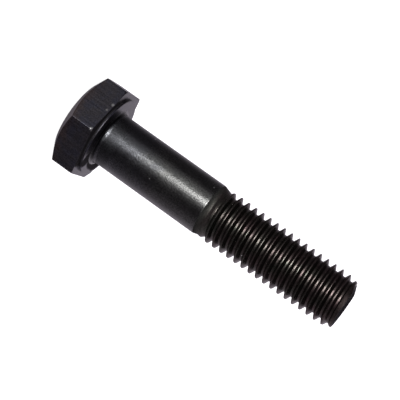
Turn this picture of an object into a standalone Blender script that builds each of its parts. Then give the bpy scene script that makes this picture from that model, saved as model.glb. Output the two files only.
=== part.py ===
"""Hex bolt, M10 x 50 with a partly threaded shank.

One forged and rolled piece of steel, so it is one object: a chamfered hexagon head with a washer face,
a plain shank, a neck that tapers into the thread's run-out, a right-hand thread, and a chamfered point.

The bolt stands on its head. The origin is the middle of the head's flat top, +Z runs along the shank to
the point, and +X goes through the middle of a wrench flat. Lengths are in metres.
"""

import math

import bmesh
import bpy

# Head
ACROSS_FLATS = 0.0169
HEAD_HEIGHT = 0.0064  # the washer face included
HEAD_TOP_DIAMETER = 0.0139  # the flat that the chamfer leaves
HEAD_CHAMFER = math.radians(30)
WASHER_FACE_DIAMETER = 0.0154
WASHER_FACE_HEIGHT = 0.00055
WASHER_FACE_EDGE = 0.00025  # chamfer round the washer face

# Shank, measured from the bearing face
LENGTH = 0.050
SHANK_DIAMETER = 0.0098
FILLET_WIDTH = 0.0006  # the fillet under the head is a quarter of an ellipse
FILLET_LENGTH = 0.0011
FILLET_STEPS = 4

# Thread, ISO metric profile
PITCH = 0.0015
MAJOR_DIAMETER = 0.00985
MINOR_DIAMETER = MAJOR_DIAMETER - 1.2269 * PITCH
ROOT_FLAT = PITCH / 4
CREST_FLAT = PITCH / 8
THREAD_LENGTH = 0.0255  # point to the last crest at full height
RIDGE_RISE = 0.002  # the ridge comes out of the neck over this length
NECK_START = 0.02825  # distance from the point where the plain shank ends
NECK_ANGLE = math.radians(17)
FIRST_CREST = 0.2384 * PITCH  # distance from the point to the first crest, on the +X side

# Point
POINT_DIAMETER = 0.0085
POINT_CHAMFER_WIDTH = 0.0009
POINT_CHAMFER_ANGLE = math.radians(21)  # to the axis

# Facets
SEGMENTS = 36  # round one turn; a multiple of 12 puts one on each corner and each flat's middle

POINT_Z = HEAD_HEIGHT + LENGTH


def hexagon_radius(angle):
    """Distance from the axis to the hexagon, with a flat's middle at angle 0."""
    from_flat = (angle + math.pi / 6) % (math.pi / 3) - math.pi / 6
    return ACROSS_FLATS / 2 / math.cos(from_flat)


def head_chamfer_height(angle):
    """Height at which the chamfer cone meets the hexagon's side."""
    return (hexagon_radius(angle) - HEAD_TOP_DIAMETER / 2) * math.tan(HEAD_CHAMFER)


def neck_radius(z):
    """The plain shank, and the cone that it tapers into, down to the bottom of the thread."""
    past_shank = max(0.0, z - (POINT_Z - NECK_START))
    return max(MINOR_DIAMETER / 2, SHANK_DIAMETER / 2 - past_shank * math.tan(NECK_ANGLE))


def crest_radius(z):
    """The ridge's top: on the neck's cone at first, and at full height RIDGE_RISE further on."""
    risen = (z - (POINT_Z - THREAD_LENGTH)) / RIDGE_RISE + 1
    risen = min(1.0, max(0.0, risen))
    return neck_radius(z) + risen * (MAJOR_DIAMETER / 2 - neck_radius(z))


def ring(bm, radius, z, turn=0.0):
    """Vertices round the axis. The radius and z are numbers or functions of the angle."""
    vertices = []
    for step in range(SEGMENTS):
        angle = 2 * math.pi * (step + turn) / SEGMENTS
        r = radius(angle) if callable(radius) else radius
        height = z(angle) if callable(z) else z
        vertices.append(bm.verts.new((r * math.cos(angle), r * math.sin(angle), height)))
    return vertices


def bridge(bm, lower, upper):
    """A band of faces between two rings."""
    for here in range(SEGMENTS):
        after = (here + 1) % SEGMENTS
        bm.faces.new((lower[here], lower[after], upper[after], upper[here]))


def stack(bm, rings):
    """Bands through a list of rings, with the first ring closed by a flat face."""
    bm.faces.new(rings[0])
    for lower, upper in zip(rings, rings[1:]):
        bridge(bm, lower, upper)


def head_and_shank(bm):
    """Everything up to the end of the plain shank, whose ring it returns."""
    hexagon_top = HEAD_HEIGHT - WASHER_FACE_HEIGHT
    washer_radius = WASHER_FACE_DIAMETER / 2
    rings = [
        ring(bm, HEAD_TOP_DIAMETER / 2, 0.0),
        ring(bm, hexagon_radius, head_chamfer_height),
        ring(bm, hexagon_radius, hexagon_top),
        ring(bm, washer_radius, hexagon_top),
        ring(bm, washer_radius, HEAD_HEIGHT - WASHER_FACE_EDGE),
        ring(bm, washer_radius - WASHER_FACE_EDGE, HEAD_HEIGHT),
    ]
    for step in range(FILLET_STEPS + 1):
        sweep = step / FILLET_STEPS * math.pi / 2
        radius = SHANK_DIAMETER / 2 + FILLET_WIDTH * (1 - math.sin(sweep))
        rings.append(ring(bm, radius, HEAD_HEIGHT + FILLET_LENGTH * (1 - math.cos(sweep))))
    rings.append(ring(bm, SHANK_DIAMETER / 2, POINT_Z - NECK_START))
    stack(bm, rings)
    return rings[-1]


def thread_station(bm, step, start_z):
    """Four vertices at one step along the helix: the root's two edges, then the crest's two edges."""
    profile = (
        (-ROOT_FLAT / 2, neck_radius),
        (ROOT_FLAT / 2, neck_radius),
        (PITCH / 2 - CREST_FLAT / 2, crest_radius),
        (PITCH / 2 + CREST_FLAT / 2, crest_radius),
    )
    angle = 2 * math.pi * step / SEGMENTS
    vertices = []
    for offset, radius_at in profile:
        z = start_z + PITCH * step / SEGMENTS + offset
        r = radius_at(z)
        vertices.append(bm.verts.new((r * math.cos(angle), r * math.sin(angle), z)))
    return vertices


def thread(bm, neck_ring):
    """The helix from the neck to past the point, closed there with a cone for the point cutter to remove."""
    first_z = POINT_Z - FIRST_CREST - PITCH / 2
    turns = math.floor((first_z - ROOT_FLAT / 2 - (POINT_Z - NECK_START)) / PITCH)
    start_z = first_z - turns * PITCH
    last = (turns + 2) * SEGMENTS
    stations = [thread_station(bm, step, start_z) for step in range(last + 1)]

    for step in range(last):
        here, after = stations[step], stations[step + 1]
        for edge in range(3):
            bm.faces.new((here[edge], after[edge], after[edge + 1], here[edge + 1]))
        if step + 1 + SEGMENTS <= last:
            turn_here, turn_after = stations[step + SEGMENTS], stations[step + 1 + SEGMENTS]
            bm.faces.new((here[3], after[3], turn_after[0], turn_here[0]))

    for step in range(SEGMENTS - 1):
        here, after = stations[step], stations[step + 1]
        bm.faces.new((neck_ring[step], neck_ring[step + 1], after[0], here[0]))
    start_of_second_turn = stations[SEGMENTS][0]
    bm.faces.new(
        (neck_ring[-1], neck_ring[0], *stations[0], start_of_second_turn, stations[SEGMENTS - 1][0])
    )

    apex = bm.verts.new((0.0, 0.0, POINT_Z + 4 * PITCH))
    for edge in [e for e in bm.edges if e.is_boundary]:
        bm.faces.new((*edge.verts, apex))


def steel():
    """Blackened steel with a thin film of oil."""
    material = bpy.data.materials.new("black_oxide_steel")
    material.use_nodes = True
    shader = material.node_tree.nodes["Principled BSDF"]
    shader.inputs["Base Color"].default_value = (0.035, 0.033, 0.036, 1.0)
    shader.inputs["Metallic"].default_value = 0.9
    shader.inputs["Roughness"].default_value = 0.4
    return material


def add_object(name, bm):
    """A mesh object from a finished bmesh, with its faces pointing out."""
    bmesh.ops.recalc_face_normals(bm, faces=bm.faces)
    mesh = bpy.data.meshes.new(name)
    bm.to_mesh(mesh)
    bm.free()
    obj = bpy.data.objects.new(name, mesh)
    bpy.context.scene.collection.objects.link(obj)
    return obj


def point_cutter():
    """A cap beyond the point, hollowed by the point's chamfer."""
    bm = bmesh.new()
    half_step = 0.5  # its edges fall between the thread's
    inner = POINT_DIAMETER / 2
    outer = inner + POINT_CHAMFER_WIDTH
    clear = MAJOR_DIAMETER
    chamfer_z = POINT_Z - POINT_CHAMFER_WIDTH / math.tan(POINT_CHAMFER_ANGLE)
    rings = [
        ring(bm, inner, POINT_Z, half_step),
        ring(bm, outer, chamfer_z, half_step),
        ring(bm, clear, chamfer_z, half_step),
        ring(bm, clear, POINT_Z + 6 * PITCH, half_step),
    ]
    stack(bm, rings)
    bm.faces.new(rings[-1])
    cutter = add_object("point_cutter", bm)
    cutter.hide_render = True
    cutter.display_type = "WIRE"
    return cutter


def hex_bolt():
    """The whole bolt: one closed body."""
    bm = bmesh.new()
    neck_ring = head_and_shank(bm)
    thread(bm, neck_ring)
    bolt = add_object("hex_bolt", bm)
    bolt.data.materials.append(steel())

    cut = bolt.modifiers.new("point", "BOOLEAN")
    cut.operation = "DIFFERENCE"
    cut.object = point_cutter()
    weld = bolt.modifiers.new("weld", "WELD")
    weld.merge_threshold = 0.00001

    bolt.data.shade_smooth()
    bolt.data.set_sharp_from_angle(angle=math.radians(25))
    return bolt


for existing in list(bpy.data.objects):
    bpy.data.objects.remove(existing)
hex_bolt()
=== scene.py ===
"""The looks of the hex bolt: one blackened steel forging, standing on its head in a plain studio.

Lengths are in metres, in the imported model's frame: the middle of the head's flat top is the origin, +Z runs
along the shank to the point, and +X goes through the middle of a wrench flat.
"""
import math

import bmesh
import bpy
from mathutils import Matrix, Vector, noise


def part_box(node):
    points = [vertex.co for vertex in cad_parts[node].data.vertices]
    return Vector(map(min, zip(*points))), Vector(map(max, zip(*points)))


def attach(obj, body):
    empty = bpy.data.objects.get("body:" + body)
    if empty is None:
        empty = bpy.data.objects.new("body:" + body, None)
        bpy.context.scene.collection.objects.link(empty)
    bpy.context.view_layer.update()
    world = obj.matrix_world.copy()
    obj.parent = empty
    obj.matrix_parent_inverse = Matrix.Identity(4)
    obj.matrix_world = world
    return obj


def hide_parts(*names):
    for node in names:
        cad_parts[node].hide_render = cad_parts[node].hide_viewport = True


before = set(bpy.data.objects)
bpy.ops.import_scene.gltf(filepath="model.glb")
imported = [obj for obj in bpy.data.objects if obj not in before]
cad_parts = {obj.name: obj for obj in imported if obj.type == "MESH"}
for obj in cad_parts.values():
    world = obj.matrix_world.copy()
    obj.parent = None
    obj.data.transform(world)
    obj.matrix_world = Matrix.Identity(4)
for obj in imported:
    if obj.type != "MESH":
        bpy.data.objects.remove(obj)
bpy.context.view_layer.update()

MM = 0.001
bolt_low, bolt_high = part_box("hex_bolt")

# ---------------------------------------------------------------- sizes

# Head
ACROSS_FLATS = bolt_high.x - bolt_low.x
HEAD_HEIGHT = 6.4 * MM  # the washer face included
HEAD_TOP_RADIUS = 6.95 * MM  # the flat that the chamfer leaves
HEAD_CHAMFER = math.radians(30)
TOP_EDGE = 0.12 * MM  # rounding between the flat top and the chamfer
CHAMFER_EDGE = 0.10 * MM  # rounding between the chamfer and a wrench flat
LONG_EDGE = 0.16 * MM  # radius of the six edges between the wrench flats
LONG_EDGE_CENTRE = (ACROSS_FLATS / 2 - LONG_EDGE) / math.cos(math.pi / 6)  # distance from the axis
WASHER_RADIUS = 7.7 * MM
WASHER_HEIGHT = 0.55 * MM
WASHER_EDGE = 0.16 * MM  # rounding round the washer face
WASHER_ROOT = 0.1 * MM  # the washer face is this much slimmer where it meets the hexagon
WASHER_CORNER = 0.04 * MM  # rounding in the corner between the two
HEXAGON_UNDER = HEAD_HEIGHT - WASHER_HEIGHT

# How far from the axis the forging ends at each underside corner of the hexagon, from the one at 30 degrees
# on. What it lacks of the sharp corner is its loss.
UNDERSIDE_CORNERS = [9.52 * MM, 9.50 * MM, 9.18 * MM, 9.50 * MM, 9.58 * MM, 9.46 * MM]
LEAST_LOSS = 0.03 * MM  # along the rest of the underside's edge
LOSS_SLOPE = 1.2  # the cut is this much longer along the bolt than across it
UNDERSIDE_EDGE = 0.012 * MM  # least rounding at the two ends of the cut
OUTER_ROUNDING = 0.6  # what the loss adds to it at the outer end
INNER_ROUNDING = 0.4

# Shank
SHANK_RADIUS = 4.9 * MM
FILLET_WIDTH = 0.7 * MM  # from the shank out to the bearing face
FOOT_WIDTH = 0.2 * MM  # the shank's foot flares by this much
FOOT_LENGTH = 0.92 * MM
FOOT_EDGE = 0.14 * MM  # rounding where the foot meets the plain shank

# Thread
PITCH = 1.5 * MM
MAJOR_RADIUS = 4.925 * MM
THREAD_DEPTH = 0.6134 * PITCH
MINOR_RADIUS = MAJOR_RADIUS - THREAD_DEPTH
POINT_Z = bolt_high.z
THREAD_START = POINT_Z - 25.5 * MM  # last crest at full height
RIDGE_RISE = 3.0 * MM  # the ridge comes out of the neck over this length
NECK_START = POINT_Z - 28.25 * MM
NECK_ANGLE = math.radians(17)
SHOULDER = 0.16 * MM  # length of the rounding between the shank and the neck
FIRST_CREST = 0.2384 * PITCH  # from the point to the first crest, on the +X side
ROOT_FLAT = PITCH / 4
CREST_FLAT = PITCH / 8
THREAD_EASE = 0.07  # rounding of the thread's edges, as a share of its flank
RISE_EASE = 0.1  # the same where the ridge starts and ends its rise
UNEVEN_ROLLING = 0.018 * MM  # how much the crests' height wavers
ROLLING_WAVES = 1.7  # how quickly it does so, per pitch
LOW_CRESTS = 4.5 * MM  # length over which the first crests are rolled a little low
LOW_BY = 0.08 * MM

# Point
POINT_RADIUS = 4.25 * MM
POINT_SLOPE = math.tan(math.radians(21))
# The dish in the end, inwards from its rim, as (share of the radius, depth)
DISH = [(0.95, 0.0), (0.87, 0.05 * MM), (0.78, 0.26 * MM), (0.66, 0.36 * MM), (0.3, 0.4 * MM)]
RISE = 0.16 * MM  # how far the sheared end stands above the nominal length
DROOP = 0.32 * MM  # how far it rolls over on one side
DROOP_SIDE = math.radians(-63)
DROOP_START = 2.0 * MM  # distance from the axis, towards that side, where it starts to droop
DROOP_LENGTH = 2.4 * MM
DROOP_DEPTH = 0.5 * MM  # how far down the thread the shear has moved the steel

# Mesh density
SIDE_COLUMNS = 20  # on one wrench flat
EVEN_SHARE = 0.96  # share of a flat's half angle that evenly spaced columns take
EDGE_COLUMNS = 6  # round one long edge
ROUND_STEPS = 4  # rows round a small edge
TOP_ROWS = (0.45, 0.9)  # on the head's flat top, as shares of its radius
FLAT_ROWS = (0.08, 0.3, 0.5, 0.7, 0.92)  # on a wrench flat, as shares of its height
BEARING_MARGIN = 0.2 * MM  # from the bearing face's rims to its outermost and innermost flat rows
FIRST_SHANK_ROW = 0.5 * MM  # above the foot
SHANK_ROWS = 24
SHOULDER_ROWS = (-1, -0.5, 0, 0.5, 1)  # as shares of half the shoulder
# Rows of one pitch, from the middle of one root to the next, as shares of the pitch
HALF_ROWS = (0.0, 0.045, 0.09, 0.13, 0.2, 0.3, 0.38, 0.42, 0.445, 0.475)
PITCH_ROWS = (*HALF_ROWS, 0.5, *(1 - row for row in reversed(HALF_ROWS[1:])))
SHARP_ANGLE = math.radians(32)  # edges sharper than this aren't shaded smooth


# ---------------------------------------------------------------- shape

def long_edge_span():
    """Half the angle that one of the hexagon's rounded long edges takes, seen from the axis."""
    return math.atan2(LONG_EDGE / 2, LONG_EDGE_CENTRE + LONG_EDGE * math.cos(math.pi / 6))


def column_angles():
    """Angles of the mesh's columns, close together round the hexagon's long edges."""
    span = long_edge_span()
    angles = []
    for side in range(6):
        middle = side * math.pi / 3
        half = math.pi / 6 - span
        even = half * EVEN_SHARE
        angles += [middle - half]
        angles += [middle - even + 2 * even * step / SIDE_COLUMNS for step in range(SIDE_COLUMNS + 1)]
        angles += [middle + half]
        corner = middle + math.pi / 6
        angles += [corner + span * (2 * step / EDGE_COLUMNS - 1) for step in range(1, EDGE_COLUMNS)]
    return angles


ANGLES = column_angles()
COLUMNS = len(ANGLES)


def hexagon_radius(angle):
    """Distance from the axis to the hexagon with rounded long edges; a flat's middle is at angle 0."""
    from_flat = (angle + math.pi / 6) % (math.pi / 3) - math.pi / 6
    from_corner = math.pi / 6 - abs(from_flat)
    if from_corner > long_edge_span():
        return ACROSS_FLATS / 2 / math.cos(from_flat)
    across = LONG_EDGE_CENTRE * math.sin(from_corner)
    return LONG_EDGE_CENTRE * math.cos(from_corner) + math.sqrt(LONG_EDGE**2 - across**2)


def corner_loss(angle):
    """How far the forging falls short of the hexagon's sharp underside at this angle."""
    corner = int((angle % (2 * math.pi)) // (math.pi / 3))
    return max(LEAST_LOSS, hexagon_radius(angle) - UNDERSIDE_CORNERS[corner])


def rounded(corners, steps):
    """A polyline's points. A corner (r, z, cut) becomes an arc that starts and ends at cut from it."""
    points = [corners[0][:2]]
    for before, here, after in zip(corners, corners[1:], corners[2:]):
        if not here[2]:
            points.append(here[:2])
            continue
        at = Vector(here[:2])
        start = at + (Vector(before[:2]) - at).normalized() * here[2]
        end = at + (Vector(after[:2]) - at).normalized() * here[2]
        for step in range(steps + 1):
            t = step / steps
            points.append(tuple(start * (1 - t) ** 2 + at * 2 * t * (1 - t) + end * t**2))
    points.append(corners[-1][:2])
    return points


def head_profile(angle):
    """The head's outline in one column, from its flat top to the plain shank, as (r, z)."""
    hexagon = hexagon_radius(angle)
    chamfer_z = (hexagon - HEAD_TOP_RADIUS) * math.tan(HEAD_CHAMFER)
    loss = corner_loss(angle)
    cut_z = HEXAGON_UNDER - loss * LOSS_SLOPE
    foot_z = HEAD_HEIGHT + FOOT_LENGTH
    corners = [
        (HEAD_TOP_RADIUS * TOP_ROWS[1], 0.0, 0.0),
        (HEAD_TOP_RADIUS, 0.0, TOP_EDGE),
        (hexagon, chamfer_z, CHAMFER_EDGE),
        *[(hexagon, chamfer_z + (cut_z - chamfer_z) * share, 0.0) for share in FLAT_ROWS],
        (hexagon, cut_z, UNDERSIDE_EDGE + loss * OUTER_ROUNDING),
        (hexagon - loss, HEXAGON_UNDER, UNDERSIDE_EDGE + loss * INNER_ROUNDING),
        (WASHER_RADIUS - WASHER_ROOT, HEXAGON_UNDER, WASHER_CORNER),
        (WASHER_RADIUS, HEAD_HEIGHT, WASHER_EDGE),
        (WASHER_RADIUS - WASHER_EDGE - BEARING_MARGIN, HEAD_HEIGHT, 0.0),
        (SHANK_RADIUS + FILLET_WIDTH + BEARING_MARGIN, HEAD_HEIGHT, 0.0),
        (SHANK_RADIUS + FOOT_WIDTH, HEAD_HEIGHT, FILLET_WIDTH - FOOT_WIDTH),
        (SHANK_RADIUS, foot_z, FOOT_EDGE),
        (SHANK_RADIUS, foot_z + FIRST_SHANK_ROW, 0.0),
    ]
    return rounded(corners, ROUND_STEPS)


def smooth_step(value):
    """0 below 0 and 1 above 1, with a smooth rise between."""
    t = min(1.0, max(0.0, value))
    return t * t * (3 - 2 * t)


def soft_clamp(value, width):
    """value limited to 0..1, with the bends at 0 and 1 eased over width."""
    low = value if value > width else (value + width) ** 2 / (4 * width) if value > -width else 0.0
    high = 1 - low
    high = high if high > width else (high + width) ** 2 / (4 * width) if high > -width else 0.0
    return 1 - high


def neck_radius(z):
    """The plain shank, rounded over a short shoulder into the cone that the thread comes out of."""
    past = z - NECK_START
    slope = math.tan(NECK_ANGLE)
    if past <= -SHOULDER / 2:
        drop = 0.0
    elif past < SHOULDER / 2:
        drop = slope * (past + SHOULDER / 2) ** 2 / (2 * SHOULDER)
    else:
        drop = slope * past
    return max(MINOR_RADIUS, SHANK_RADIUS - drop)


def crest_radius(z):
    """The ridge's top: on the neck's cone at first, then at full height, and a little low at the point."""
    risen = soft_clamp((z - THREAD_START) / RIDGE_RISE + 1, RISE_EASE)
    low = LOW_BY * (1 - smooth_step((POINT_Z - z) / LOW_CRESTS))
    return neck_radius(z) + risen * (MAJOR_RADIUS - low - neck_radius(z))


def point_radius(z):
    """The chamfer of the point."""
    return POINT_RADIUS + max(0.0, POINT_Z - z) * POINT_SLOPE


def thread_share(row):
    """How far up from root to crest the 60 degree profile is at this share of a pitch."""
    from_root = 1 - abs(2 * row - 1)  # 0 in the middle of the root and 1 in the middle of the crest
    root_end = ROOT_FLAT / PITCH
    crest_start = 1 - CREST_FLAT / PITCH
    return soft_clamp((from_root - root_end) / (crest_start - root_end), THREAD_EASE)


def thread_radius(angle, z, row):
    """Distance from the axis to the thread's surface."""
    rolled = noise.noise(Vector((math.cos(angle), math.sin(angle), z / PITCH)) * ROLLING_WAVES)
    share = thread_share(row)
    radius = neck_radius(z) + share * (crest_radius(z) - neck_radius(z))
    radius += share * rolled * UNEVEN_ROLLING * smooth_step((z - THREAD_START) / PITCH + 1)
    return min(radius, point_radius(z))


def add_ring(bm, points):
    """A vertex for each column, from (angle, r, z)."""
    return [bm.verts.new((r * math.cos(a), r * math.sin(a), z)) for a, r, z in points]


def bridge(bm, lower, upper, material):
    """A band of faces between two rings."""
    for here in range(COLUMNS):
        after = (here + 1) % COLUMNS
        face = bm.faces.new((lower[here], lower[after], upper[after], upper[here]))
        face.material_index = material


HEAD, SHANK, THREAD, END = range(4)  # the bolt's four materials


def head_and_shank(bm):
    """The head, its washer face and the plain shank. It returns the shank's last ring."""
    profiles = [head_profile(angle) for angle in ANGLES]
    rows = len(profiles[0])
    rings = []
    for row in range(rows):
        points = [(a, *profile[row]) for a, profile in zip(ANGLES, profiles)]
        rings.append(add_ring(bm, points))
    fillet_row = rows - 2 * (ROUND_STEPS + 1) - 1  # the last two roundings and the last row are the shank's
    for row in range(rows - 1):
        bridge(bm, rings[row], rings[row + 1], HEAD if row < fillet_row else SHANK)

    centre = bm.verts.new((0.0, 0.0, 0.0))
    inner = add_ring(bm, [(a, HEAD_TOP_RADIUS * TOP_ROWS[0], 0.0) for a in ANGLES])
    bridge(bm, inner, rings[0], HEAD)
    for here in range(COLUMNS):
        face = bm.faces.new((inner[here], centre, inner[(here + 1) % COLUMNS]))
        face.material_index = HEAD

    start = profiles[0][-1][1]
    end = NECK_START - SHOULDER
    heights = [start + (end - start) * row / SHANK_ROWS for row in range(1, SHANK_ROWS + 1)]
    heights += [NECK_START + SHOULDER / 2 * share for share in SHOULDER_ROWS]
    lower = rings[-1]
    for z in heights:
        upper = add_ring(bm, [(a, neck_radius(z), z) for a in ANGLES])
        bridge(bm, lower, upper, SHANK)
        lower = upper
    return lower


def thread(bm, shank_ring):
    """The helix, from the shoulder to past the point."""
    first_z = POINT_Z - FIRST_CREST - PITCH / 2
    turns = math.floor((first_z - NECK_START - SHOULDER / 2) / PITCH)
    start_z = first_z - turns * PITCH
    last = (turns + 2) * COLUMNS
    rows = len(PITCH_ROWS)

    stations = []
    for step in range(last + 1):
        angle = ANGLES[step % COLUMNS] + 2 * math.pi * (step // COLUMNS)
        base = start_z + PITCH * angle / (2 * math.pi)
        column = []
        for row in PITCH_ROWS:
            z = base + PITCH * row
            r = thread_radius(angle, z, row)
            column.append(bm.verts.new((r * math.cos(angle), r * math.sin(angle), z)))
        stations.append(column)

    def face(*vertices):
        bm.faces.new(vertices).material_index = THREAD

    for step in range(last):
        here, after = stations[step], stations[step + 1]
        for row in range(rows - 1):
            face(here[row], after[row], after[row + 1], here[row + 1])
        if step + 1 + COLUMNS <= last:
            above, above_after = stations[step + COLUMNS], stations[step + 1 + COLUMNS]
            face(here[-1], after[-1], above_after[0], above[0])
    for step in range(COLUMNS - 1):
        here, after = stations[step], stations[step + 1]
        face(shank_ring[step], shank_ring[step + 1], after[0], here[0])
    face(shank_ring[-1], shank_ring[0], *stations[0], stations[COLUMNS][0], stations[COLUMNS - 1][0])


def cut_point(bm):
    """Cuts the helix off at the point and closes it with a shallow dish, as thread rolling leaves it."""
    everything = [*bm.verts, *bm.edges, *bm.faces]
    bmesh.ops.bisect_plane(
        bm, geom=everything, dist=1e-7, plane_co=(0, 0, POINT_Z), plane_no=(0, 0, 1), clear_outer=True
    )
    rim = [edge for edge in bm.edges if edge.is_boundary]
    shrunk = 1.0
    for share, depth in DISH:
        made = bmesh.ops.extrude_edge_only(bm, edges=rim)["geom"]
        rim = [item for item in made if isinstance(item, bmesh.types.BMEdge) and item.is_boundary]
        for face in [item for item in made if isinstance(item, bmesh.types.BMFace)]:
            face.material_index = END
        for vertex in {vertex for edge in rim for vertex in edge.verts}:
            vertex.co.x *= share / shrunk
            vertex.co.y *= share / shrunk
            vertex.co.z = POINT_Z - depth
        shrunk = share
    for face in bmesh.ops.contextual_create(bm, geom=rim)["faces"]:
        face.material_index = END


def roll_over(bm):
    """Raises the end and lowers one side of it, where the shear that cut the blank has dragged it."""
    side = Vector((math.cos(DROOP_SIDE), math.sin(DROOP_SIDE), 0))
    for vertex in bm.verts:
        near_end = smooth_step(1 - (POINT_Z - vertex.co.z) / DROOP_DEPTH)
        drooping = smooth_step((vertex.co.dot(side) - DROOP_START) / DROOP_LENGTH)
        vertex.co.z += near_end * (RISE - (DROOP + RISE) * drooping)


def bolt_mesh():
    """The whole bolt as one closed surface."""
    bm = bmesh.new()
    thread(bm, head_and_shank(bm))
    cut_point(bm)
    roll_over(bm)
    bmesh.ops.recalc_face_normals(bm, faces=bm.faces)
    mesh = bpy.data.meshes.new("bolt")
    bm.to_mesh(mesh)
    bm.free()
    mesh.shade_smooth()
    mesh.set_sharp_from_angle(angle=SHARP_ANGLE)
    return mesh


# ---------------------------------------------------------------- materials

class Nodes:
    """A short way to build a node tree: each call makes a node, sets its inputs and returns it."""

    def __init__(self, tree):
        self.tree = tree

    def add(self, kind, inputs=None, **settings):
        node = self.tree.nodes.new(kind)
        for name, value in settings.items():
            setattr(node, name, value)
        for name, value in (inputs or {}).items():
            socket = node.inputs[name]
            if isinstance(value, bpy.types.NodeSocket):
                self.tree.links.new(value, socket)
            else:
                socket.default_value = value
        return node

    def noise(self, place, per_mm, detail=2.0, stretch=1.0):
        """Noise with so many features per millimetre, stretched along the bolt."""
        scale = (1 / MM, 1 / MM, 1 / MM / stretch)
        scaled = self.add("ShaderNodeMapping", {"Vector": place, "Scale": scale}).outputs[0]
        inputs = {"Vector": scaled, "Scale": per_mm, "Detail": detail}
        return self.add("ShaderNodeTexNoise", inputs).outputs[0]

    def ramp(self, value, start, end, low=0.0, high=1.0):
        """low up to start and high from end, with a straight line between."""
        inputs = {"Value": value, 1: start, 2: end, 3: low, 4: high}
        return self.add("ShaderNodeMapRange", inputs).outputs[0]

    def math(self, operation, first, second):
        return self.add("ShaderNodeMath", {0: first, 1: second}, operation=operation).outputs[0]

    def scaled(self, colour, factor):
        node = self.add("ShaderNodeVectorMath", {0: colour, "Scale": factor}, operation="SCALE")
        return node.outputs[0]

    def coordinate(self, place, axis):
        return self.add("ShaderNodeSeparateXYZ", {"Vector": place}).outputs[axis]

    def distance(self, place, centre_mm):
        inputs = {0: place, 1: Vector(centre_mm) * MM}
        return self.add("ShaderNodeVectorMath", inputs, operation="DISTANCE").outputs["Value"]

    def blend(self, share, first, second):
        """A mix of two colours, which are tuples or sockets."""
        colours = [(*c, 1) if isinstance(c, tuple) else c for c in (first, second)]
        mixed = self.add("ShaderNodeMix", {0: share, 6: colours[0], 7: colours[1]}, data_type="RGBA")
        return mixed.outputs[2]

    def bump(self, height, distance, normal=None):
        inputs = {"Height": height, "Distance": distance}
        if normal:
            inputs["Normal"] = normal
        return self.add("ShaderNodeBump", inputs).outputs[0]


# Shades of the steel and of what is on it
COOL = (0.0425, 0.0425, 0.046)
NEUTRAL = (0.0440, 0.0432, 0.0425)
WARM = (0.041, 0.0282, 0.0285)
OLIVE = (0.0345, 0.034, 0.0292)
DULL_OLIVE = (0.0222, 0.0219, 0.0205)
RUSTY = (0.047, 0.037, 0.037)
DEEP = (0.037, 0.0345, 0.039)
BLUED = (0.032, 0.034, 0.050)
BARE = (0.42, 0.41, 0.40)
# Near black: the painted shade under the head, and the sheared end's colour
SOOT_AND_PAINTED_SHADE = (0.006, 0.005, 0.006)

# Where the finish, the painted shade and the painted light change along the bolt, as (start, end) heights
HEAD_TURNS_DEEP = (0.2 * MM, 3.8 * MM)
# Painted shade in the corner under the hexagon starts and ends at these heights
CREVICE_SHADE_STARTS = (HEXAGON_UNDER - 0.04 * MM, HEXAGON_UNDER - 0.01 * MM)
CREVICE_SHADE_ENDS = (HEXAGON_UNDER + 0.2 * MM, HEXAGON_UNDER + 0.35 * MM)
FILLET_SHADE_ENDS = (HEAD_HEIGHT + 0.5 * MM, HEAD_HEIGHT + 0.75 * MM)
# A rougher band above the fillet, also painted darker
DULL_SHADED_STARTS = (HEAD_HEIGHT + 0.9 * MM, HEAD_HEIGHT + 1.2 * MM)
DULL_SHADED_ENDS = (HEAD_HEIGHT + 2.8 * MM, HEAD_HEIGHT + 4.0 * MM)
SHANK_TURNS_NEUTRAL = (8 * MM, 24 * MM)
SHANK_PAINTED_LIGHTER = (12 * MM, 27 * MM)
SHANK_GRAIN_FADES = (14 * MM, 26 * MM)
NECK_ENDS = (THREAD_START - 2.5 * MM, THREAD_START - 1.3 * MM)
THREAD_TURNS_WARM = (-30 * MM, 120 * MM)  # a slow change, of which the thread shows the middle
ALL_ALONG = (0, 1)  # for a material of one shade
# Painted light: the head is drawn paler towards its +Y side
HEAD_PAINTED_PALER_SIDE = (4.5 * MM, 6.0 * MM)  # the head gets paler between these two values of y

# Marks on the head: worn nicks, and patches of painted shade under it, as (centre, radius), in millimetres
NICKS = [((8.45, -1.2, 5.6), 0.72), ((8.45, 0.2, 5.4), 0.62), ((8.5, 4.9, 5.7), 0.85)]
NICK_CORE = 0.4  # share of the radius in which a nick is barest
NICK_BARENESS = 0.65
# Painted shade: near black patches on the bearing face and the underside
UNDER_HEAD_SHADE = [((-1.6, 0.4, 6.4), 6.0), ((0.7, 6.1, 6.4), 2.0)]
UNDER_HEAD_SHADE_FADE = 0.4
# Painted shade, darkest in the corner between the hexagon and the washer face
CREVICE_SHADE = ((4.6, 3.0, 5.9), 6.5)  # in the corner between the hexagon and the washer face
CREVICE_SHADE_FADE = 0.5

# How far noise moves the edge of a mark or of a stretch of the bolt
RAGGED_NICK = 0.7 * MM
RAGGED_UNDER_HEAD_SHADE = 1.2 * MM
RAGGED_DULL_SHADED = 0.8 * MM
RAGGED_FILLET_SHADE = 0.2 * MM

# The values that noise seldom leaves, and those between which a blued patch comes in
NOISE_RANGE = (0.3, 0.7)
CLOUD_RANGE = (0.35, 0.65)
BLUED_RANGE = (0.45, 0.62)


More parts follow.
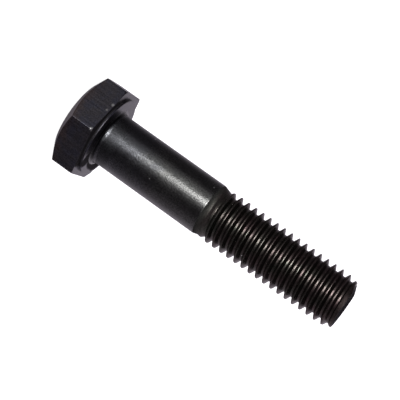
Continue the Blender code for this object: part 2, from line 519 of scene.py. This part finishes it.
class Steel:
    """A blackened steel material whose colour goes from one shade to another along the bolt."""

    def __init__(self, name, shades, turn):
        self.material = bpy.data.materials.new(name)
        self.material.use_nodes = True
        tree = self.material.node_tree
        self.nodes = nodes = Nodes(tree)
        self.link = tree.links.new
        self.shader = tree.nodes["Principled BSDF"]
        self.place = nodes.add("ShaderNodeTexCoord").outputs["Object"]
        self.height = nodes.coordinate(self.place, "Z")
        self.clouds = nodes.noise(self.place, per_mm=0.35, detail=4.0)
        self.grain = nodes.noise(self.place, per_mm=4.5, detail=3.0)
        self.strokes = nodes.noise(self.place, per_mm=3.2, detail=3.0, stretch=16)
        along = nodes.ramp(self.height, *turn)
        share = nodes.ramp(nodes.math("ADD", along, self.clouds), 0.8, 1.2)  # an uneven border
        self.colour = nodes.blend(share, *shades)
        self.metal = 1.0

    def uneven(self, pattern, depth):
        """Varies the shade by a pattern, up and down by depth."""
        factor = self.nodes.ramp(pattern, *NOISE_RANGE, 1 - depth, 1 + depth)
        self.colour = self.nodes.scaled(self.colour, factor)

    def change(self, value, where, low, high):
        """Scales the shade by low before a stretch of value and by high after it."""
        self.colour = self.nodes.scaled(self.colour, self.nodes.ramp(value, *where, low, high))

    def specks(self, cell, radius):
        """Tiny bare specks, one to a cell, where the surface passes close to its middle."""
        nodes = self.nodes
        scale = (1 / cell, 1 / cell, 1 / cell)
        cells = nodes.add("ShaderNodeMapping", {"Vector": self.place, "Scale": scale}).outputs[0]
        dots = nodes.add("ShaderNodeTexVoronoi", {"Vector": cells, "Scale": 1.0}).outputs["Distance"]
        speck = nodes.ramp(dots, 0.6 * radius / cell, radius / cell, 1, 0)
        self.colour = nodes.blend(speck, self.colour, BARE)

    def finish(self, roughness, grain, lines):
        """Links what was made. roughness is a socket; grain and lines are bump heights."""
        self.link(self.colour, self.shader.inputs["Base Color"])
        self.link(roughness, self.shader.inputs["Roughness"])
        normal = self.nodes.bump(self.grain, grain)
        if lines:
            normal = self.nodes.bump(self.strokes, lines, normal)
        self.link(normal, self.shader.inputs["Normal"])
        if isinstance(self.metal, float):
            self.shader.inputs["Metallic"].default_value = self.metal
        else:
            self.link(self.metal, self.shader.inputs["Metallic"])
        return self.material


def painted_shade_under_head(steel):
    """1 where shade is painted under the head and in the corner by the washer face, and 0 elsewhere."""
    nodes = steel.nodes
    ragged = nodes.math("MULTIPLY", steel.clouds, RAGGED_UNDER_HEAD_SHADE)
    painted_shade = 0.0
    for centre, radius in UNDER_HEAD_SHADE:
        away = nodes.math("ADD", nodes.distance(steel.place, centre), ragged)
        shade_patch = nodes.ramp(away, radius * MM, (radius + UNDER_HEAD_SHADE_FADE) * MM, 1, 0)
        painted_shade = nodes.math("MAXIMUM", painted_shade, shade_patch)
    centre, radius = CREVICE_SHADE
    away = nodes.distance(steel.place, centre)
    shade_patch = nodes.ramp(away, radius * MM, (radius + CREVICE_SHADE_FADE) * MM, 1, 0)
    shade_patch = nodes.math("MULTIPLY", shade_patch, nodes.ramp(steel.height, *CREVICE_SHADE_STARTS))
    shade_patch = nodes.math("MULTIPLY", shade_patch, nodes.ramp(steel.height, *CREVICE_SHADE_ENDS, 1, 0))
    return nodes.math("MAXIMUM", painted_shade, shade_patch)


def head_steel():
    """The forged head: rusty towards its top, blued in patches, painted paler on its +Y side, striated, with
    a few nicks and painted shade under it.
    """
    steel = Steel("forged_head_steel", (RUSTY, DEEP), HEAD_TURNS_DEEP)
    nodes = steel.nodes
    blued = nodes.ramp(nodes.noise(steel.place, per_mm=0.6), *BLUED_RANGE, 0.0, 0.42)
    steel.colour = nodes.blend(blued, steel.colour, BLUED)
    # Painted light: the +Y side of the head drawn paler
    steel.change(nodes.coordinate(steel.place, "Y"), HEAD_PAINTED_PALER_SIDE, 1, 1.2)
    steel.uneven(steel.strokes, 0.22)
    steel.uneven(steel.grain, 0.36)
    ragged = nodes.math("MULTIPLY", steel.grain, RAGGED_NICK)
    for centre, radius in NICKS:
        away = nodes.math("ADD", nodes.distance(steel.place, centre), ragged)
        worn = nodes.ramp(away, NICK_CORE * radius * MM, radius * MM, NICK_BARENESS, 0)
        steel.colour = nodes.blend(worn, steel.colour, BARE)
    # Painted shade under the head: near black, not metal and rougher there
    painted_shade = painted_shade_under_head(steel)
    steel.colour = nodes.blend(painted_shade, steel.colour, SOOT_AND_PAINTED_SHADE)
    steel.metal = nodes.math("SUBTRACT", 1.0, painted_shade)
    roughness = nodes.ramp(steel.grain, *NOISE_RANGE, 0.30, 0.42)
    roughness = nodes.math("ADD", roughness, nodes.math("MULTIPLY", painted_shade, 0.5))
    steel.shader.inputs["Specular IOR Level"].default_value = 0.1
    return steel.finish(roughness, grain=0.004 * MM, lines=0.004 * MM)


def shank_steel():
    """The drawn shank: cool near the head, with painted shade on its foot, a rougher band above it also
    painted darker, painted lighter towards the thread, and bare specks.
    """
    steel = Steel("drawn_shank_steel", (COOL, NEUTRAL), SHANK_TURNS_NEUTRAL)
    nodes = steel.nodes
    steel.uneven(steel.grain, 0.55)
    steel.grain = nodes.math("MULTIPLY", steel.grain, nodes.ramp(steel.height, *SHANK_GRAIN_FADES, 1, 0.35))
    steel.specks(cell=2.4 * MM, radius=0.16 * MM)
    roughness = nodes.ramp(steel.clouds, *CLOUD_RANGE, 0.23, 0.30)
    edge = nodes.math("ADD", steel.height, nodes.math("MULTIPLY", steel.clouds, RAGGED_DULL_SHADED))
    dull_and_shaded = nodes.ramp(edge, *DULL_SHADED_ENDS, 1, 0)
    dull_and_shaded = nodes.math("MULTIPLY", dull_and_shaded, nodes.ramp(steel.height, *DULL_SHADED_STARTS))
    roughness = nodes.math("ADD", roughness, nodes.math("MULTIPLY", dull_and_shaded, 0.14))
    # Painted shade: the rougher band is also drawn darker, dimming the highlight near the head
    steel.change(dull_and_shaded, (0, 1), 1, 0.66)
    # Painted light: the shank drawn lighter towards the thread, where its highlight grows
    steel.change(steel.height, SHANK_PAINTED_LIGHTER, 1, 1.2)
    # Painted shade on the shank's foot, in the fillet under the head
    edge = nodes.math("ADD", steel.height, nodes.math("MULTIPLY", steel.grain, RAGGED_FILLET_SHADE))
    steel.change(edge, FILLET_SHADE_ENDS, 0.15, 1)
    return steel.finish(roughness, grain=0.020 * MM, lines=0.009 * MM)


def thread_steel():
    """The rolled thread: warm and dark, with a duller, scored neck where it starts, and bare specks."""
    steel = Steel("rolled_thread_steel", (OLIVE, WARM), THREAD_TURNS_WARM)
    nodes = steel.nodes
    steel.uneven(steel.grain, 0.25)
    steel.uneven(nodes.noise(steel.place, per_mm=1.2, detail=3.0, stretch=0.14), 0.35)
    steel.metal = 0.95
    steel.shader.inputs["Specular Tint"].default_value = (0.72, 0.7, 0.7, 1)
    neck = nodes.ramp(steel.height, *NECK_ENDS, 1, 0)
    steel.colour = nodes.blend(neck, steel.colour, DULL_OLIVE)
    rings = nodes.noise(steel.place, per_mm=2.4, detail=3.0, stretch=0.12)
    scores = nodes.ramp(rings, *NOISE_RANGE, -0.6, 0.6)
    steel.colour = nodes.scaled(steel.colour, nodes.math("ADD", nodes.math("MULTIPLY", neck, scores), 1.0))
    steel.specks(cell=2.6 * MM, radius=0.14 * MM)
    roughness = nodes.ramp(steel.clouds, *CLOUD_RANGE, 0.25, 0.33)
    roughness = nodes.math("ADD", roughness, nodes.math("MULTIPLY", neck, 0.5))
    return steel.finish(roughness, grain=0.022 * MM, lines=0.0)


def end_steel():
    """The sheared end: rough and sooty."""
    steel = Steel("sheared_end_steel", (SOOT_AND_PAINTED_SHADE, SOOT_AND_PAINTED_SHADE), ALL_ALONG)
    steel.uneven(steel.grain, 0.5)
    steel.metal = 0.0
    steel.shader.inputs["Specular IOR Level"].default_value = 0.1
    roughness = steel.nodes.ramp(steel.clouds, *NOISE_RANGE, 0.65, 0.8)
    return steel.finish(roughness, grain=0.02 * MM, lines=0.0)


def bolt():
    """The visible bolt, in place of the plain CAD solid."""
    obj = bpy.data.objects.new("bolt", bolt_mesh())
    bpy.context.scene.collection.objects.link(obj)
    for material in (head_steel(), shank_steel(), thread_steel(), end_steel()):
        obj.data.materials.append(material)
    weighted = obj.modifiers.new("weighted_normals", "WEIGHTED_NORMAL")
    weighted.keep_sharp = True
    weighted.weight = 80
    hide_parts("hex_bolt")
    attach(obj, "root")


# ---------------------------------------------------------------- studio

CAMERA_AZIMUTH = math.radians(26.79)  # the camera's place round the bolt, from +X towards +Y
CAMERA_ELEVATION = math.radians(10.9)
CAMERA_DISTANCE = 254.7 * MM
CAMERA_ROLL = math.radians(125.52)
CAMERA_TARGET = Vector((0.18 * MM, -0.35 * MM, 25.92 * MM))
FIELD_OF_VIEW = math.radians(15.3)
NEAREST_SEEN = 10 * MM

KEY_AZIMUTH = -13.5  # degrees from the camera's
KEY_TARGET = Vector((0, 0, 30 * MM))
KEY_DISTANCE = 0.7
KEY_SIZE = 0.22
KEY_POWER = 6.1
KEY_TINT = (0.98, 1.0, 0.99)

FLOOR_RADIUS = 12.0
FLOOR_DROP = 0.02 * MM  # keeps the floor clear of the head's top
FLOOR_GREY = (0.8, 0.8, 0.8)
FLOOR_GLOW = 0.9

# What the steel mirrors: patches of the surroundings, whose azimuths are counted from the camera's. Each is
# (azimuth, elevation, degrees to its edge, degrees to where it reaches full strength, strength).
BACKDROP = (150, 10, 104, 25, 1.0)
BACKDROP_FALLOFF = 1.4
BACKDROP_STRENGTH = 0.74
DARK_BELOW = (0, -90, 72, 50, 1.0)
DARK_BEHIND = (160, -14, 28, 8, 0.5)
CARDS = [(-44, -14, 20, 4, 0.7), (-15, 2, 38, 6, 1.2), (12, 14, 22, 6, 0.9)]
TABLE = (0, -90, 50, 30, 0.8)
CEILING = (0, 90, 50, 20, 0.5)
AMBIENT = 0.13
ROOM_TINT = (1.06, 0.98, 1.10)
CARD_TINT = (0.98, 1.0, 1.0)
WHITE = (1.0, 1.0, 1.0)


def around(azimuth, elevation):
    """A unit vector away from the bolt's axis."""
    level = math.cos(elevation)
    return Vector((math.cos(azimuth) * level, math.sin(azimuth) * level, math.sin(elevation)))


def from_camera(azimuth, elevation):
    """The same for degrees, with the azimuth counted from the camera's."""
    return around(CAMERA_AZIMUTH + math.radians(azimuth), math.radians(elevation))


def camera():
    """The camera, rolled so that the bolt lies across the frame."""
    data = bpy.data.cameras.new("camera")
    data.angle = FIELD_OF_VIEW
    data.clip_start = NEAREST_SEEN
    obj = bpy.data.objects.new("camera", data)
    bpy.context.scene.collection.objects.link(obj)
    back = around(CAMERA_AZIMUTH, CAMERA_ELEVATION)
    turn = (-back).to_track_quat("-Z", "Y").to_matrix() @ Matrix.Rotation(CAMERA_ROLL, 3, "Z")
    obj.matrix_world = Matrix.Translation(CAMERA_TARGET + back * CAMERA_DISTANCE) @ turn.to_4x4()
    bpy.context.scene.camera = obj


def key_light():
    """A square softbox level with the bolt, to one side of the camera."""
    data = bpy.data.lights.new("key", "AREA")
    data.shape = "RECTANGLE"
    data.size = KEY_SIZE
    data.size_y = KEY_SIZE
    data.energy = KEY_POWER
    data.color = KEY_TINT
    obj = bpy.data.objects.new("key", data)
    bpy.context.scene.collection.objects.link(obj)
    back = from_camera(KEY_AZIMUTH, 0.0)
    obj.location = KEY_TARGET + back * KEY_DISTANCE
    obj.rotation_mode = "QUATERNION"
    obj.rotation_quaternion = (-back).to_track_quat("-Z", "Y")


def floor():
    """A plain pale floor, level with the head's top. The steel mirrors the table patch instead of it."""
    bm = bmesh.new()
    bmesh.ops.create_circle(bm, cap_ends=True, radius=FLOOR_RADIUS, segments=96)
    mesh = bpy.data.meshes.new("floor")
    bm.to_mesh(mesh)
    bm.free()
    obj = bpy.data.objects.new("floor", mesh)
    bpy.context.scene.collection.objects.link(obj)
    obj.location.z = -FLOOR_DROP
    obj.visible_glossy = False
    obj.visible_shadow = False
    material = bpy.data.materials.new("pale_floor")
    material.use_nodes = True
    shader = material.node_tree.nodes["Principled BSDF"]
    shader.inputs["Base Color"].default_value = (*FLOOR_GREY, 1)
    shader.inputs["Roughness"].default_value = 0.9
    shader.inputs["Emission Color"].default_value = (*WHITE, 1)
    shader.inputs["Emission Strength"].default_value = FLOOR_GLOW
    obj.data.materials.append(material)


def surroundings():
    """A white backdrop behind the bolt, and darkness round the camera with a few bright cards in it."""
    world = bpy.data.worlds.new("studio")
    bpy.context.scene.world = world
    world.use_nodes = True
    tree = world.node_tree
    nodes = Nodes(tree)
    background = tree.nodes["Background"]
    direction = nodes.add("ShaderNodeTexCoord").outputs["Generated"]

    def patch(azimuth, elevation, edge, middle, strength):
        inputs = {0: direction, 1: from_camera(azimuth, elevation)}
        towards = nodes.add("ShaderNodeVectorMath", inputs, operation="DOT_PRODUCT").outputs["Value"]
        share = nodes.ramp(towards, math.cos(math.radians(edge)), math.cos(math.radians(middle)))
        return nodes.math("MULTIPLY", share, strength)

    backdrop = nodes.math("POWER", patch(*BACKDROP), BACKDROP_FALLOFF)
    level = nodes.math("SUBTRACT", 1.0, patch(*DARK_BELOW))
    level = nodes.math("SUBTRACT", level, patch(*DARK_BEHIND))
    cards = patch(*CARDS[0])
    for card in CARDS[1:]:
        cards = nodes.math("ADD", cards, patch(*card))
    strength = nodes.math("MULTIPLY", nodes.math("MULTIPLY", backdrop, level), BACKDROP_STRENGTH)
    for share in (cards, patch(*TABLE), patch(*CEILING), AMBIENT):
        strength = nodes.math("ADD", strength, share)
    colour = nodes.blend(nodes.ramp(cards, 0, 1), ROOM_TINT, CARD_TINT)

    # The camera itself sees plain white.
    seen = nodes.add("ShaderNodeLightPath").outputs["Is Camera Ray"]
    shown = nodes.add("ShaderNodeMix", {0: seen, 2: strength, 3: 1.0}, data_type="FLOAT")
    tree.links.new(shown.outputs[0], background.inputs["Strength"])
    tree.links.new(nodes.blend(seen, colour, WHITE), background.inputs["Color"])


bolt()
camera()
floor()
surroundings()
key_light()
bpy.context.scene.view_settings.view_transform = "Standard"
